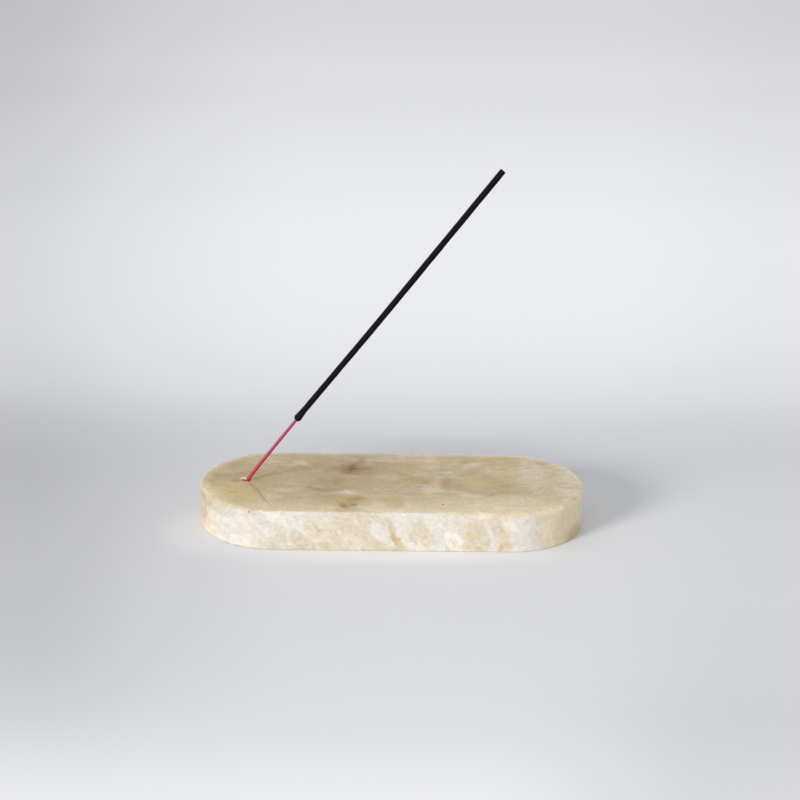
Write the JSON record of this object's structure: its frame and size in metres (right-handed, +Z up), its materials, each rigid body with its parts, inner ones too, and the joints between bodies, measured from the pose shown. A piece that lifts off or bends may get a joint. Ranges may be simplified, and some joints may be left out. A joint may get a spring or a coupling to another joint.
{
  "type": "incense burner",
  "caption": "Stone slab with round ends and a slanted hole that holds a leaning incense stick, so that the ash drops on the slab's flat top.",
  "frame": {"origin": "middle of the slab's underside, on the surface that it stands on", "axes": "+Z up, +X along the slab, the way that the stick leans, +Y to the back of the picture's view"},
  "size_m": [0.2, 0.08, 0.1857],
  "materials": {
    "stone": "honed cream and honey calcite with white bands and fine brown veins",
    "dyed_bamboo": "bamboo splint dyed pink, matte",
    "incense_paste": null
  },
  "bodies": {
    "slab": {"stone_slab": "stone"},
    "stick": {"bamboo_core": "dyed_bamboo", "incense_coat": "incense_paste"}
  },
  "joints": [
    {"name": "stick_pull", "type": "slide", "parent": "slab", "child": "stick", "axis": [0.6113, 0, 0.7914], "range_m": [0, 0.03]}
  ]
}
